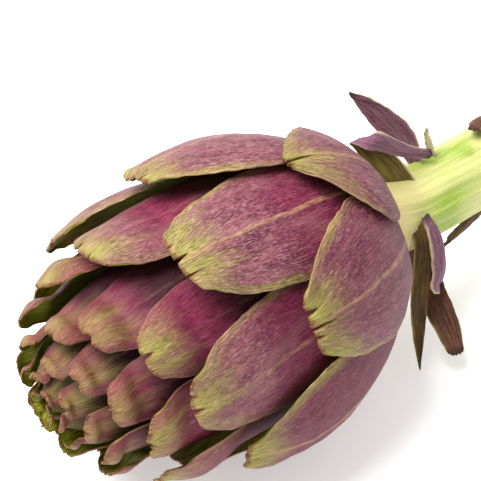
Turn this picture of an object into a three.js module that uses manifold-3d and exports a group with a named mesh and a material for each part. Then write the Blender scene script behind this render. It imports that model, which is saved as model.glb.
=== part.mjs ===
// A purple globe artichoke as picked, with a short cut stem, lying on its side.
// Units are millimetres and +Z is up; the table is z = 0. The crown points along -X, the cut stem along +X.
// The head is a golden-angle spiral of bracts on a fleshy receptacle, which is the swollen end of the stem.
// Bract 0 is the outermost, nearest the stem; each later one is tucked under the ones before it.

import * as THREE from 'three';
import { mergeVertices } from 'three/addons/utils/BufferGeometryUtils.js';
import Module from 'manifold-3d';

// ---- driving dimensions -------------------------------------------------------------------------------

const HEAD_LENGTH = 124;
const HEAD_RADIUS = 46;
const WIDEST_AT = 0.42; // fraction of the head's length, from the stem end
const AXIS_HEIGHT = 44.8;
const REST_AT = 0.39; // fraction of the head's length that stands over the origin

const BRACT_COUNT = 46;
const GOLDEN_ANGLE = 137.5;
const FIRST_BRACT_ANGLE = 5; // degrees about the axis, 0 is straight up and 90 is towards -Y
const FIRST_TIP_GAP = 0.7; // fraction of the head's length from bract 0's tip to the crown
const TIP_GAP_DECAY = 0.0875; // each bract's tip is this fraction nearer the crown than the one before
const LAYER_PITCH = 0.62; // radial step from one bract to the next
const BRACT_HALF_WIDTH = 25;
const WIDTH_DECAY = 33; // bracts over which the width falls to 1/e
const BASE_WIDTH = 0.44; // of the full width
const MAX_HALF_ANGLE = 44; // degrees
const WIDEST_PLACE = { outermost: 0.38, step: 0.015, steps: 8 }; // fraction of a bract's length
const TAPER_POWER = { outermost: 1.5, step: 0.045, steps: 16 }; // a higher power keeps the width further up
const TIP_WIDTH = { outermost: 0.13, gain: 0.5, over: 9 }; // of the full width; the gain comes over this many
const TIP_ROUNDING = 0.25; // of the last facet's length
const BRACT_THICKNESS = { outermost: 2.6, step: -0.024 };
const TIP_THINNING = 0.55; // of the thickness is lost between the base and the tip
const TIP_LIFT = 1.2; // how far a tip stands off the ones under it
const LIFT_LAYERS = 3; // the lift begins where the bract this many places further out has ended
const STAND_POWER = 0.6;
const STAND_SIDE = [-1, 0.2]; // where across the bract a one-sided stand begins and is whole
const FLESH_POWER = 0.5;
const KEEL_HEIGHT = 2.2; // how far the middle of a bract bulges beyond the head's own roundness
const KEEL_LAYERS = 7; // the bulge begins where the bract this many places further out has ended

const STEM_RADIUS = 12.5;
const STEM_LENGTH = 58;
const STEM_DROP = 4.6; // the stem leaves the head a little below its axis
const STEM_DROP_OVER = 16;
const CLEARANCE = 0.35; // gap between neighbouring pieces

// Every bract is faceted at the same stations along the head, so that nested facets stay nested.
const STATIONS = [0.03, 0.07, 0.12, 0.18, 0.26, 0.36, 0.47, 0.58, 0.68, 0.77, 0.85, 0.91, 0.955, 0.98];
const BASE_STATIONS = [
  { below: 5, start: 0.03 },
  { below: 14, start: 0.07 },
  { below: 26, start: 0.12 },
  { below: BRACT_COUNT, start: 0.18 },
];
const LAST_FACET = 0.012; // no station is nearer to a tip than this
const ACROSS_STEPS = 4;

// How single bracts differ from the regular spiral. Degrees: turn, and sweep, a further turn of the base.
// Fraction of the head's length: reach. Factor: wide. Millimetres: lift of the tip, stand of the middle away
// from the head (only on one side of the midrib where side is 1 or -1), and flesh, extra thickness outside.
const IRREGULAR = {
  0: { turn: -3, sweep: 13, wide: 0.84, reach: -0.012, lift: 0.8, stand: 2.8 },
  1: { turn: 3, wide: 0.62 },
  3: { turn: 0.5, reach: 0.013, stand: 1 },
  4: { turn: -4, reach: 0.01, flesh: 4.9, lift: 0 },
  5: { turn: -2.5, reach: 0.022, lift: 0.8, stand: 1.6 },
  6: { turn: -5, sweep: 3, reach: 0.08, lift: 0, stand: 3.2, side: 1 },
  8: { turn: -7.5, sweep: 2, reach: 0.018 },
  10: { reach: 0.05, lift: 0.6 },
  11: { turn: -9, reach: 0.045, wide: 1.06 },
  13: { turn: -8, sweep: 3, reach: 0.012, lift: 0.8 },
  14: { turn: -7, reach: 0.04, lift: 0.6 },
  16: { turn: -4.5, wide: 0.96 },
  17: { lift: 2.6 },
  18: { reach: 0.008 },
  19: { turn: -10, wide: 1.12 },
  21: { turn: 2 },
  22: { lift: 2.2 },
  23: { turn: 5 },
  24: { turn: -4 },
  26: { turn: 12 },
  27: { turn: -6 },
  30: { lift: 2.2 },
  38: { lift: 1.8 },
};

const PURPLE = 0x7a4a63;
const ROSY_PURPLE = 0x8a4766;
const LEAF_PURPLE = 0x6d4a5c;
const WITHERED = 0x6a4a3a;
const PALE_GREEN = 0xd3dda0;
const BUD_GREEN = 0xa3ad4c;
const SURFACE_ROUGHNESS = 0.62;

const radians = THREE.MathUtils.degToRad;
const clamp = THREE.MathUtils.clamp;

// ---- the head's frame ---------------------------------------------------------------------------------

// A point from its distance along the head (from the stem end, towards the crown), its distance from the
// axis and its angle about the axis in radians. Past the stem end it follows the stem.
function onHead(along, radius, angle) {
  const drop = STEM_DROP * THREE.MathUtils.smoothstep(-along, -4, STEM_DROP_OVER);
  return new THREE.Vector3(
    HEAD_LENGTH * REST_AT - along,
    -radius * Math.sin(angle),
    AXIS_HEIGHT - drop + radius * Math.cos(angle),
  );
}

// The head's outline: a full, blunt bottom and an elliptical top.
function outline(t) {
  if (t < WIDEST_AT) {
    return HEAD_RADIUS * Math.cbrt(1 - ((WIDEST_AT - t) / WIDEST_AT) ** 2);
  }
  return HEAD_RADIUS * Math.sqrt(1 - ((t - WIDEST_AT) / (1 - WIDEST_AT)) ** 2);
}

// The bract number whose tip reaches the outline at t: the inverse of the tip rule below.
function tipNumberAt(t) {
  return -Math.log((1 - t) / FIRST_TIP_GAP) / TIP_GAP_DECAY;
}

function bractTip(number) {
  return 1 - FIRST_TIP_GAP * Math.exp(-TIP_GAP_DECAY * number);
}

// ---- solids -------------------------------------------------------------------------------------------

function solidGeometry(points, triangles) {
  const geometry = new THREE.BufferGeometry();
  geometry.setAttribute('position', new THREE.Float32BufferAttribute(points.flatMap((p) => p.toArray()), 3));
  geometry.setIndex(signedVolume(points, triangles) > 0 ? triangles : flipped(triangles));
  return geometry;
}

function signedVolume(points, triangles) {
  let volume = 0;
  for (let i = 0; i < triangles.length; i += 3) {
    const [a, b, c] = [points[triangles[i]], points[triangles[i + 1]], points[triangles[i + 2]]];
    volume += a.dot(b.clone().cross(c)) / 6;
  }
  return volume;
}

function flipped(triangles) {
  const turned = [];
  for (let i = 0; i < triangles.length; i += 3) {
    turned.push(triangles[i], triangles[i + 2], triangles[i + 1]);
  }
  return turned;
}

// A leaf-like solid between two grids of points. They meet along both side edges and at the tip row, and a
// strip closes the base row.
function leafSolid(backGrid, frontGrid) {
  const points = backGrid.flat();
  const rows = backGrid.length;
  const columns = backGrid[0].length;
  const back = (i, j) => i * columns + j;
  const frontIndex = new Map();
  const front = (i, j) => {
    if (i === rows - 1 || j === 0 || j === columns - 1) {
      return back(i, j);
    }
    const key = back(i, j);
    if (!frontIndex.has(key)) {
      frontIndex.set(key, points.length);
      points.push(frontGrid[i][j]);
    }
    return frontIndex.get(key);
  };
  const triangles = [];
  const quad = (a, b, c, d) => {
    for (const [p, q, r] of [[a, b, c], [a, c, d]]) {
      if (p !== q && q !== r && r !== p) {
        triangles.push(p, q, r);
      }
    }
  };
  for (let i = 0; i < rows - 1; i += 1) {
    for (let j = 0; j < columns - 1; j += 1) {
      quad(back(i, j), back(i, j + 1), back(i + 1, j + 1), back(i + 1, j));
      quad(front(i, j), front(i + 1, j), front(i + 1, j + 1), front(i, j + 1));
    }
  }
  for (let j = 0; j < columns - 1; j += 1) {
    quad(back(0, j + 1), back(0, j), front(0, j), front(0, j + 1));
  }
  return solidGeometry(points, triangles);
}

// A solid of revolution about the head's axis through [along, radius] rings, closed by a point at each end.
function turnedSolid(rings, sides) {
  const points = [onHead(rings[0][0], 0, 0)];
  for (const [along, radius] of rings) {
    for (let j = 0; j < sides; j += 1) {
      points.push(onHead(along, radius, (j / sides) * 2 * Math.PI));
    }
  }
  points.push(onHead(rings[rings.length - 1][0], 0, 0));
  const last = points.length - 1;
  const at = (i, j) => 1 + i * sides + (j % sides);
  const triangles = [];
  for (let j = 0; j < sides; j += 1) {
    triangles.push(0, at(0, j + 1), at(0, j));
    triangles.push(last, at(rings.length - 1, j), at(rings.length - 1, j + 1));
    for (let i = 0; i < rings.length - 1; i += 1) {
      triangles.push(at(i, j), at(i, j + 1), at(i + 1, j + 1));
      triangles.push(at(i, j), at(i + 1, j + 1), at(i + 1, j));
    }
  }
  return solidGeometry(points, triangles);
}

// ---- the bracts ---------------------------------------------------------------------------------------

function stepped({ outermost, step, steps = BRACT_COUNT }, number) {
  return outermost + step * Math.min(number, steps);
}

function bractPlan(number) {
  const own = IRREGULAR[number] ?? {};
  return {
    number,
    angle: radians(FIRST_BRACT_ANGLE + GOLDEN_ANGLE * number + (own.turn ?? 0)),
    start: BASE_STATIONS.find((group) => number < group.below).start,
    tip: bractTip(number) + (own.reach ?? 0),
    halfWidth: BRACT_HALF_WIDTH * Math.exp(-number / WIDTH_DECAY) * (own.wide ?? 1),
    sweep: radians(own.sweep ?? 0),
    widestAt: stepped(WIDEST_PLACE, number),
    tipWidth: TIP_WIDTH.outermost + TIP_WIDTH.gain * (1 - Math.exp(-number / TIP_WIDTH.over)),
    taperPower: stepped(TAPER_POWER, number),
    thickness: stepped(BRACT_THICKNESS, number),
    lift: own.lift ?? TIP_LIFT,
    stand: own.stand ?? 0,
    side: own.side ?? 0,
    flesh: own.flesh ?? 0,
  };
}

// Half-width at u (0 at the base, 1 at the tip): widest in the middle, then drawn in to a blunt tip.
function bractHalfWidth(plan, u) {
  if (u < plan.widestAt) {
    const rise = Math.sin((Math.PI / 2) * (u / plan.widestAt));
    return plan.halfWidth * (BASE_WIDTH + (1 - BASE_WIDTH) * rise);
  }
  const past = (u - plan.widestAt) / (1 - plan.widestAt);
  return plan.halfWidth * (1 - (1 - plan.tipWidth) * past ** plan.taperPower);
}

function bractStations(plan) {
  const inner = STATIONS.filter((t) => t >= plan.start && t < plan.tip - LAST_FACET);
  return [...inner, plan.tip];
}

function bractPoint(plan, t, v, onBack) {
  const u = clamp((t - plan.start) / (plan.tip - plan.start), 0, 1);
  const lastFacet = plan.tip - STATIONS.findLast((station) => station < plan.tip - LAST_FACET);
  const place = t === plan.tip ? t - TIP_ROUNDING * lastFacet * v * v : t;
  const layers = tipNumberAt(place) - plan.number;
  const lift = plan.lift * clamp(1 + layers / LIFT_LAYERS, 0, 1) ** 2;
  const keel = KEEL_HEIGHT * Math.sin(Math.PI * clamp(1 + layers / KEEL_LAYERS, 0, 1)) * (1 - v * v);
  const standSide = plan.side ? THREE.MathUtils.smoothstep(plan.side * v, ...STAND_SIDE) : 1;
  const stand = plan.stand * standSide * Math.sin(Math.PI * u) ** STAND_POWER;
  const back = outline(place) + LAYER_PITCH * layers + lift + keel + stand;
  const halfAngle = Math.min(bractHalfWidth(plan, u) / back, radians(MAX_HALF_ANGLE));
  const taper = (1 - v * v) * (1 - TIP_THINNING * u);
  const flesh = plan.flesh * (1 - v * v) * Math.sin(Math.PI * u) ** FLESH_POWER;
  const radius = onBack ? back + flesh : back - plan.thickness * taper;
  return onHead(place * HEAD_LENGTH, radius, plan.angle + plan.sweep * (1 - u) + v * halfAngle);
}

function bractGrid(plan, onBack) {
  return bractStations(plan).map((t) => {
    const row = [];
    for (let j = 0; j <= ACROSS_STEPS; j += 1) {
      row.push(bractPoint(plan, t, (2 * j) / ACROSS_STEPS - 1, onBack));
    }
    return row;
  });
}

// ---- leaves on the stem -------------------------------------------------------------------------------

// Each spine runs from the base to the tip as [along, radius, degrees], with the stem at negative along.
// facing is the direction that the green inner face looks in at the middle of the leaf.
const STEM_LEAVES = [
  {
    name: 'stem_leaf_upright',
    spine: [[-23, 13.2, -30], [-20.5, 22, -27], [-17, 29.5, -31], [-14, 35, -34], [-10, 40, -37]],
    facing: [-0.9, -0.2, 0.3],
    halfWidth: 5.2,
    cup: 0.8,
    tipWidth: 0.12,
    color: LEAF_PURPLE,
  },
  {
    name: 'stem_leaf_folded',
    spine: [
      [-5, 15, -15], [-2.5, 21, -18], [-5, 26.5, -14],
      [-11, 25, -9.5], [-18, 19.8, -9.5], [-25, 15.2, -7],
    ],
    facing: [-0.1, -0.75, -0.55],
    halfWidth: 5,
    cup: 1.0,
    tipWidth: 0.5,
    color: LEAF_PURPLE,
  },
  {
    name: 'stem_leaf_pale_spike',
    spine: [[-28, 13.4, -22], [-27, 18.3, -18], [-25.5, 23.4, -14]],
    facing: [-1, 0, 0.2],
    halfWidth: 1.7,
    cup: 0.5,
    tipWidth: 0.1,
    color: PALE_GREEN,
  },
  {
    name: 'stem_leaf_far',
    spine: [[-55, 13.2, -15], [-50, 15.5, -14], [-45, 16.5, -11], [-41, 16, -8]],
    facing: [-0.2, -0.3, -1],
    halfWidth: 4.5,
    cup: 0.9,
    tipWidth: 0.4,
    color: WITHERED,
  },
  {
    name: 'stem_leaf_under',
    spine: [[-50, 13.3, 165], [-42, 17, 166], [-34, 18, 162], [-24, 18.7, 157]],
    facing: [0.2, 0.5, 0.6],
    halfWidth: 3.2,
    cup: 0.7,
    tipWidth: 0.2,
    color: WITHERED,
  },
  {
    name: 'stem_leaf_curled',
    spine: [
      [-9, 14.6, 148], [-9, 21, 136], [-10, 21.5, 109],
      [-12, 19.5, 85], [-12, 17, 67], [-11, 15.5, 54],
    ],
    facing: [-0.9, -0.35, 0.1],
    halfWidth: 4.2,
    cup: 1.0,
    tipWidth: 0.42,
    color: LEAF_PURPLE,
  },
  {
    name: 'stem_leaf_hanging_blunt',
    spine: [[-15, 13.6, 158], [-13, 20, 149], [-11, 27.5, 142], [-9, 36, 136], [-7, 48.5, 134.5]],
    facing: [-0.7, -0.5, 0.5],
    halfWidth: 4.8,
    cup: 0.6,
    tipWidth: 0.55,
    color: WITHERED,
  },
  {
    name: 'stem_leaf_hanging_pointed',
    spine: [[-4, 15.2, 112], [-3.5, 21.6, 130], [-0.5, 34, 140], [4.5, 48, 141]],
    facing: [-0.6, -0.6, 0.4],
    halfWidth: 3.6,
    cup: 0.5,
    tipWidth: 0.1,
    color: WITHERED,
  },
];
const STEM_LEAF_THICKNESS = 1.3;
const STEM_LEAF_THINNING = 0.5; // of the thickness is lost between the base and the tip
const STEM_LEAF_BASE_WIDTH = 0.45; // of the full width
const STEM_LEAF_WIDEST_AT = 0.45; // of the length
const STEM_LEAF_TAPER_POWER = 1.8;
const STEM_LEAF_STEPS = 8;

function stemLeafSolid(leaf) {
  const points = leaf.spine.map(([along, radius, degrees]) => onHead(along, radius, radians(degrees)));
  const spine = new THREE.CatmullRomCurve3(points);
  const facing = new THREE.Vector3(...leaf.facing);
  const grids = [[], []];
  for (let i = 0; i <= STEM_LEAF_STEPS; i += 1) {
    const u = i / STEM_LEAF_STEPS;
    const centre = spine.getPoint(u);
    const ahead = spine.getTangent(u);
    const across = new THREE.Vector3().crossVectors(ahead, facing).normalize();
    const normal = new THREE.Vector3().crossVectors(across, ahead).normalize();
    const rows = [[], []];
    for (let j = 0; j <= ACROSS_STEPS; j += 1) {
      const v = (2 * j) / ACROSS_STEPS - 1;
      const width = stemLeafHalfWidth(leaf, u);
      const bend = leaf.cup * v;
      const sideways = (width * Math.sin(bend)) / leaf.cup;
      const raised = (width * (1 - Math.cos(bend))) / leaf.cup;
      const middle = centre.clone().addScaledVector(across, sideways).addScaledVector(normal, raised);
      const half = (STEM_LEAF_THICKNESS / 2) * (1 - v * v) * (1 - STEM_LEAF_THINNING * u);
      rows[0].push(middle.clone().addScaledVector(normal, -half));
      rows[1].push(middle.clone().addScaledVector(normal, half));
    }
    grids[0].push(rows[0]);
    grids[1].push(rows[1]);
  }
  return leafSolid(grids[0], grids[1]);
}

function stemLeafHalfWidth(leaf, u) {
  const rise = Math.sin((Math.PI / 2) * Math.min(u / STEM_LEAF_WIDEST_AT, 1));
  const swell = STEM_LEAF_BASE_WIDTH + (1 - STEM_LEAF_BASE_WIDTH) * rise;
  const past = Math.max(u - STEM_LEAF_WIDEST_AT, 0) / (1 - STEM_LEAF_WIDEST_AT);
  const drawnIn = past ** STEM_LEAF_TAPER_POWER;
  return leaf.halfWidth * swell * (1 - (1 - leaf.tipWidth) * drawnIn);
}

// ---- stem with its receptacle, and the bud in the middle ------------------------------------------------

const STEM_SIDES = 16;

// [along, radius] from the cut end, past the neck where the stem flares, to the top of the receptacle.
const STEM_OUTLINE = [
  [-STEM_LENGTH, STEM_RADIUS - 0.8],
  [-STEM_LENGTH + 1, STEM_RADIUS],
  [-STEM_LENGTH * 0.6, STEM_RADIUS - 0.3],
  [-14, STEM_RADIUS],
  [-6, STEM_RADIUS + 0.7],
  [0, STEM_RADIUS + 1.7],
  [3.7, 15.4],
  [8.7, 16.8],
  [14, 14.6],
  [18, 10.5],
  [21, 5],
];

const BUD_SIDES = 12;
const BUD_BASE = [22, 5];
const BUD_PEAK = [0.965 * HEAD_LENGTH, 1.5];
const BUD_STATIONS = STATIONS.filter((station) => station > 0.2 && station < 0.97);

// The youngest bracts, pressed into one tight cone just inside the innermost separate bract.
function budSolid() {
  const innermost = bractPlan(BRACT_COUNT - 1);
  const rings = BUD_STATIONS.map((t) => {
    const inside = outline(t) + LAYER_PITCH * (tipNumberAt(t) - innermost.number);
    return [t * HEAD_LENGTH, inside - innermost.thickness - 2 * CLEARANCE];
  });
  return turnedSolid([BUD_BASE, ...rings, BUD_PEAK], BUD_SIDES);
}

// ---- the flat spot that it rests on -------------------------------------------------------------------

const wasm = await Module();
wasm.setup();

function toManifold(geometry) {
  const bare = geometry.clone();
  bare.deleteAttribute('normal');
  bare.deleteAttribute('uv');
  const merged = mergeVertices(bare);
  return new wasm.Manifold(new wasm.Mesh({
    numProp: 3,
    vertProperties: new Float32Array(merged.attributes.position.array),
    triVerts: new Uint32Array(merged.index.array),
  }));
}

function toGeometry(manifold) {
  const mesh = manifold.getMesh();
  const geometry = new THREE.BufferGeometry();
  geometry.setAttribute('position', new THREE.BufferAttribute(mesh.vertProperties, 3));
  geometry.setIndex(new THREE.BufferAttribute(mesh.triVerts, 1));
  return geometry;
}

// Whatever would reach below the table is pressed flat against it.
function flattenedBelow(geometry) {
  geometry.computeBoundingBox();
  if (geometry.boundingBox.min.z >= 0) {
    return geometry;
  }
  const below = new THREE.BoxGeometry(4 * HEAD_LENGTH, 4 * HEAD_LENGTH, HEAD_LENGTH);
  below.translate(0, 0, -HEAD_LENGTH / 2);
  return toGeometry(toManifold(geometry).subtract(toManifold(below)));
}

// ---- assembly -----------------------------------------------------------------------------------------

const group = new THREE.Group();

function addPiece(name, geometry, color) {
  const shaded = flattenedBelow(geometry);
  shaded.computeVertexNormals();
  const material = new THREE.MeshStandardMaterial({ color, roughness: SURFACE_ROUGHNESS, metalness: 0 });
  const mesh = new THREE.Mesh(shaded, material);
  mesh.name = name;
  group.add(mesh);
}

addPiece('stem', turnedSolid(STEM_OUTLINE, STEM_SIDES), PALE_GREEN);
addPiece('inner_bud', budSolid(), BUD_GREEN);
for (let number = 0; number < BRACT_COUNT; number += 1) {
  const plan = bractPlan(number);
  const name = `bract_${String(number).padStart(2, '0')}`;
  addPiece(name, leafSolid(bractGrid(plan, true), bractGrid(plan, false)), number % 2 ? PURPLE : ROSY_PURPLE);
}
for (const leaf of STEM_LEAVES) {
  addPiece(leaf.name, stemLeafSolid(leaf), leaf.color);
}

export default group;
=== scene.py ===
"""A purple globe artichoke on its side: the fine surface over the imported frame.

Lengths in the shape functions are millimetres, as in the frame's own design; a mesh is scaled to metres when
it is made. The head is a golden-angle spiral of bracts. Bract 0 is the outermost, 0 degrees is straight up
and 90 degrees is towards -Y.
"""
import math

import bmesh
import bpy
import numpy as np
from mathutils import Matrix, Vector


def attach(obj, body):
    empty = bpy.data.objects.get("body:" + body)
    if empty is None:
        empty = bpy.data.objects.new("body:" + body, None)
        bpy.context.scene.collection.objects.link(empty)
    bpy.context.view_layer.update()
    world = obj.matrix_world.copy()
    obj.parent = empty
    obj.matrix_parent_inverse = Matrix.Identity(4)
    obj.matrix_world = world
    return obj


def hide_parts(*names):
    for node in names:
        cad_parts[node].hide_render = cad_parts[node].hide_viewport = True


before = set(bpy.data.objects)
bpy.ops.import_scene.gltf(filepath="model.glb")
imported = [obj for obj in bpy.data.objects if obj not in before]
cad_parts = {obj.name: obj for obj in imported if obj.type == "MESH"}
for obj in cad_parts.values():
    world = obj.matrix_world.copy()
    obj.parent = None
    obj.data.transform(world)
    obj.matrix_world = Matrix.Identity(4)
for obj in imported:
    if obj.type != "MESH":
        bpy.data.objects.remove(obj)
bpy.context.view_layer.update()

MM = 0.001

# ---- the head's driving dimensions -----------------------------------

HEAD_LENGTH = 124
HEAD_RADIUS = 46
WIDEST_AT = 0.42
AXIS_HEIGHT = 44.8
REST_AT = 0.39

BRACT_COUNT = 46
BUD_COUNT = 54
BUD_TIP = 0.955
BUD_TIP_STEP = 0.002
GOLDEN_ANGLE = 137.5
FIRST_BRACT_ANGLE = 5
FIRST_TIP_GAP = 0.7
TIP_GAP_DECAY = 0.0875
LAYER_PITCH = 0.62
BRACT_HALF_WIDTH = 25
WIDTH_DECAY = 33
BASE_WIDTH = 0.44
MAX_HALF_ANGLE = math.radians(44)
KEEL_HEIGHT = 2.2
KEEL_LAYERS = 7

STEM_RADIUS = 12.5
STEM_LENGTH = 58
STEM_DROP = 4.6
STEM_DROP_FROM, STEM_DROP_TO = -4, 16  # the stem sinks between these distances behind the head's base
NEARLY_ONE = 0.9999  # stands for the very tip of the head, where the outline closes


def smoothstep(x, low, high):
    x = np.clip((x - low) / (high - low), 0, 1)
    return x * x * (3 - 2 * x)


def on_head(along, radius, angle):
    """Points in millimetres from the distance along the head, the distance from its axis and the angle."""
    drop = STEM_DROP * smoothstep(-np.asarray(along, float), STEM_DROP_FROM, STEM_DROP_TO)
    return np.stack(
        [
            HEAD_LENGTH * REST_AT - along + 0 * angle,
            -radius * np.sin(angle),
            AXIS_HEIGHT - drop + radius * np.cos(angle),
        ],
        -1,
    )


def outline(t):
    t = np.clip(t, 0, NEARLY_ONE)
    bottom = np.cbrt(np.clip(1 - ((WIDEST_AT - t) / WIDEST_AT) ** 2, 0, 1))
    top = np.sqrt(np.clip(1 - ((t - WIDEST_AT) / (1 - WIDEST_AT)) ** 2, 0, 1))
    return HEAD_RADIUS * np.where(t < WIDEST_AT, bottom, top)


def tip_number_at(t):
    return -np.log((1 - np.clip(t, 0, NEARLY_ONE)) / FIRST_TIP_GAP) / TIP_GAP_DECAY


# ---- noise for shapes ------------------------------------------------

# Each kind of noise: its seed, to which the bract's or leaf's number is added, its waves and the longest one.
NOISES = dict(
    ragged=(50, 6, 0.7),
    splinters=(90, 3, 0.11),
    ripple=(11, 4, 0.5),
    side_wave=(31, 5, 0.35),
    edge_roll=(72, 4, 0.45),
    tip_roll=(131, 3, 1.3),
    dents=(171, 3, 0.6),
    leaf_ragged=(300, 4, 0.6),
    leaf_splinters=(320, 3, 0.2),
    leaf_width=(340, 4, 0.5),
    leaf_folds=(360, 4, 0.4),
    leaf_margin=(380, 4, 0.3),
)
WAVE_STEP, WAVE_FADE = 1.7, 0.75  # each wave is this many times shorter than the last, and this much as high
WANDER_SCALE = 2.2  # brings the sum of the waves to about unit size


def wander(kind, number, x):
    """Smooth one-dimensional noise of about unit size: a few sine waves with seeded phases."""
    seed, waves, longest = NOISES[kind]
    draw = np.random.RandomState(seed + number)
    total = np.zeros_like(np.asarray(x, float))
    for i in range(waves):
        phase, stretch = draw.uniform(0, 2 * math.pi), draw.uniform(0.8, 1.25)
        wave = np.sin(2 * math.pi * x * (WAVE_STEP ** i) * stretch / longest + phase)
        total = total + wave * WAVE_FADE ** i
    return total / WANDER_SCALE


# ---- bracts ----------------------------------------------------------

# How single bracts differ from the regular spiral, as in the frame: degrees for turn and sweep, a fraction of
# the head's length for reach, a factor for wide, millimetres for lift, stand and flesh.
IRREGULAR = {
    0: dict(turn=-3, sweep=13, wide=0.84, reach=-0.012, lift=0.8, stand=2.8),
    1: dict(turn=3, wide=0.62),
    3: dict(turn=0.5, reach=0.013, stand=1),
    4: dict(turn=-4, reach=0.01, flesh=4.9, lift=0),
    5: dict(turn=-2.5, reach=0.022, lift=0.8, stand=1.6),
    6: dict(turn=-5, sweep=3, reach=0.08, lift=0, stand=3.2, side=1),
    8: dict(turn=-7.5, sweep=2, reach=0.018),
    10: dict(reach=0.05, lift=0.6),
    11: dict(turn=-9, reach=0.045, wide=1.06),
    13: dict(turn=-8, sweep=3, reach=0.012, lift=0.8),
    14: dict(turn=-7, reach=0.04, lift=0.6),
    16: dict(turn=-4.5, wide=0.96),
    17: dict(lift=2.6),
    18: dict(reach=0.008),
    19: dict(turn=-10, wide=1.12),
    21: dict(turn=2),
    22: dict(lift=2.2),
    23: dict(turn=5),
    24: dict(turn=-4),
    26: dict(turn=12),
    27: dict(turn=-6),
    30: dict(lift=2.2),
    38: dict(lift=1.8),
}

# Tears in the tips: [place across from -1 to 1, depth in millimetres, half-width across].
TEARS = {
    0: [[0.1, 4, 0.12]],
    3: [[-0.42, 3.6, 0.1], [0.12, 5.5, 0.06], [0.4, 1.6, 0.08]],
    5: [[-0.3, 3.6, 0.09], [0.3, 2.4, 0.1]],
    8: [[-0.12, 3.4, 0.08], [0.42, 6.5, 0.05], [-0.55, 2.0, 0.07]],
    11: [[0.1, 2.6, 0.1], [-0.4, 1.2, 0.1]],
    13: [[-0.5, 3.4, 0.09], [0.2, 1.6, 0.06]],
    16: [[-0.05, 2.6, 0.1]],
}
# How much wider single bracts are at the tip than in the frame, as a share of their width.
TIP_SPREAD = {3: 0.13, 5: 0.06, 8: 0.1, 13: 0.08}

# How much painted shade single bracts carry, from 0 to 1: darker and more purple for those that face away
# from the key light. The others are all alike.
PAINTED_SHADE_TONES = {0: 0.25, 3: 0.6, 5: 0.0, 6: 0.85, 8: 0.05, 11: 0.35, 13: 0.0, 16: 0.1}
USUAL_SHADE_TONE = 0.3

# Where bracts start, as a share of the head's length: [below this number, start]. The last is the bud's.
STARTS = [[5, 0.03], [14, 0.07], [26, 0.12], [BRACT_COUNT, 0.18], [BUD_COUNT, 0.55]]


def bract_plan(number):
    """A bract's measures. youth goes from 0 for the outer bracts to 1 for the inner ones. calm, a factor for
    rolls and waves, is 1 but less for the youngest, which lie flatter. size is one for all fine shapes."""
    own = IRREGULAR.get(number, {})
    tip = 1 - FIRST_TIP_GAP * math.exp(-TIP_GAP_DECAY * number) + own.get("reach", 0)
    if number >= BRACT_COUNT:
        tip = BUD_TIP - BUD_TIP_STEP * (number - BRACT_COUNT)
    half_width = BRACT_HALF_WIDTH * math.exp(-number / WIDTH_DECAY) * own.get("wide", 1)
    return dict(
        number=number,
        angle=math.radians(FIRST_BRACT_ANGLE + GOLDEN_ANGLE * number + own.get("turn", 0)),
        sweep=math.radians(own.get("sweep", 0)),
        start=next(start for below, start in STARTS if number < below),
        tip=tip,
        half_width=half_width,
        widest_at=0.38 + 0.015 * min(number, 8),
        tip_width=0.13 + 0.5 * (1 - math.exp(-number / 9)),
        taper_power=1.5 + 0.045 * min(number, 16),
        thickness=2.1 - 0.022 * min(number, BRACT_COUNT),
        lift=own.get("lift", 1.2),
        stand=own.get("stand", 0),
        side=own.get("side", 0),
        flesh=own.get("flesh", 0),
        youth=float(smoothstep(number, 6, 18)),
        calm=1 - 0.65 * float(smoothstep(number, 20, 30)),
        size=(half_width / BRACT_HALF_WIDTH) ** 0.8,
    )


def bract_half_width(plan, u):
    rise = np.sin((math.pi / 2) * np.clip(u / plan["widest_at"], 0, 1))
    growing = BASE_WIDTH + (1 - BASE_WIDTH) * rise
    past = np.clip((u - plan["widest_at"]) / (1 - plan["widest_at"]), 0, 1)
    tip_width = plan["tip_width"] + TIP_SPREAD.get(plan["number"], 0)
    return plan["half_width"] * np.where(
        u < plan["widest_at"], growing, 1 - (1 - tip_width) * past ** plan["taper_power"]
    )


TIP_STAND = 1.3  # the tips of the outer bracts stand off the head by this much more, or by their own amount
TIP_STANDS = {3: 2.2, 5: 1.6, 8: 3.2, 11: 1.8, 13: 2.8, 16: 3.0, 19: 1.4, 21: 1.4, 24: 1.0}
GAP_DEPTH = 2.4  # an inner bract lies this much deeper where others cover it
LEAN_FROM, LEAN_STEP, LEAN_MOST = 28, 0.4, 6.4  # the youngest tips lean in over the middle
ROOTED_BELOW = 14  # the bases of the bracts below this number bend in to the stem's head
ROOT_RADIUS, ROOT_STEP, ROOT_SHARE = 14.6, 0.15, 0.1
AXIS_CLEARANCE, AXIS_STEP = 0.8, 0.1  # a back keeps this far from the axis, plus a step per bract inside it
UNDERSIDE_SKIN = 0.6  # the least height of an inner face over the table
EDGE_THICKNESS = 0.42
RIM_BULGE = 0.16

TIP_ROUNDNESS = 2.3
TIP_TAPER = 14  # the tip's cut is spread over the last millimetres
NOTCH_HALF = 0.17
POINT_HALF, POINT_LENGTH = 0.035, 0.8
MIDRIB_HEIGHT, MIDRIB_HALF = 0.4, 0.06
PLEATS, PLEAT_HEIGHT = 9, 0.13
SIDE_WAVE = 0.018
EDGE_ROLL, EDGE_ROLL_FROM, EDGE_ROLL_SPAN = 0.5, 0.72, 0.08
DENT_DEPTH = 0.32
EDGE_CROWDING = 0.94  # how much closer the lines across are at the edges, where 1 is the most
TEAR_LINES = (-1, -0.6, -0.33, -0.12, 0, 0.12, 0.33, 0.6, 1)  # the lines in a tear, as shares of its half


def notch_at(number):
    return 0.1 * math.sin(7.0 * number)


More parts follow.
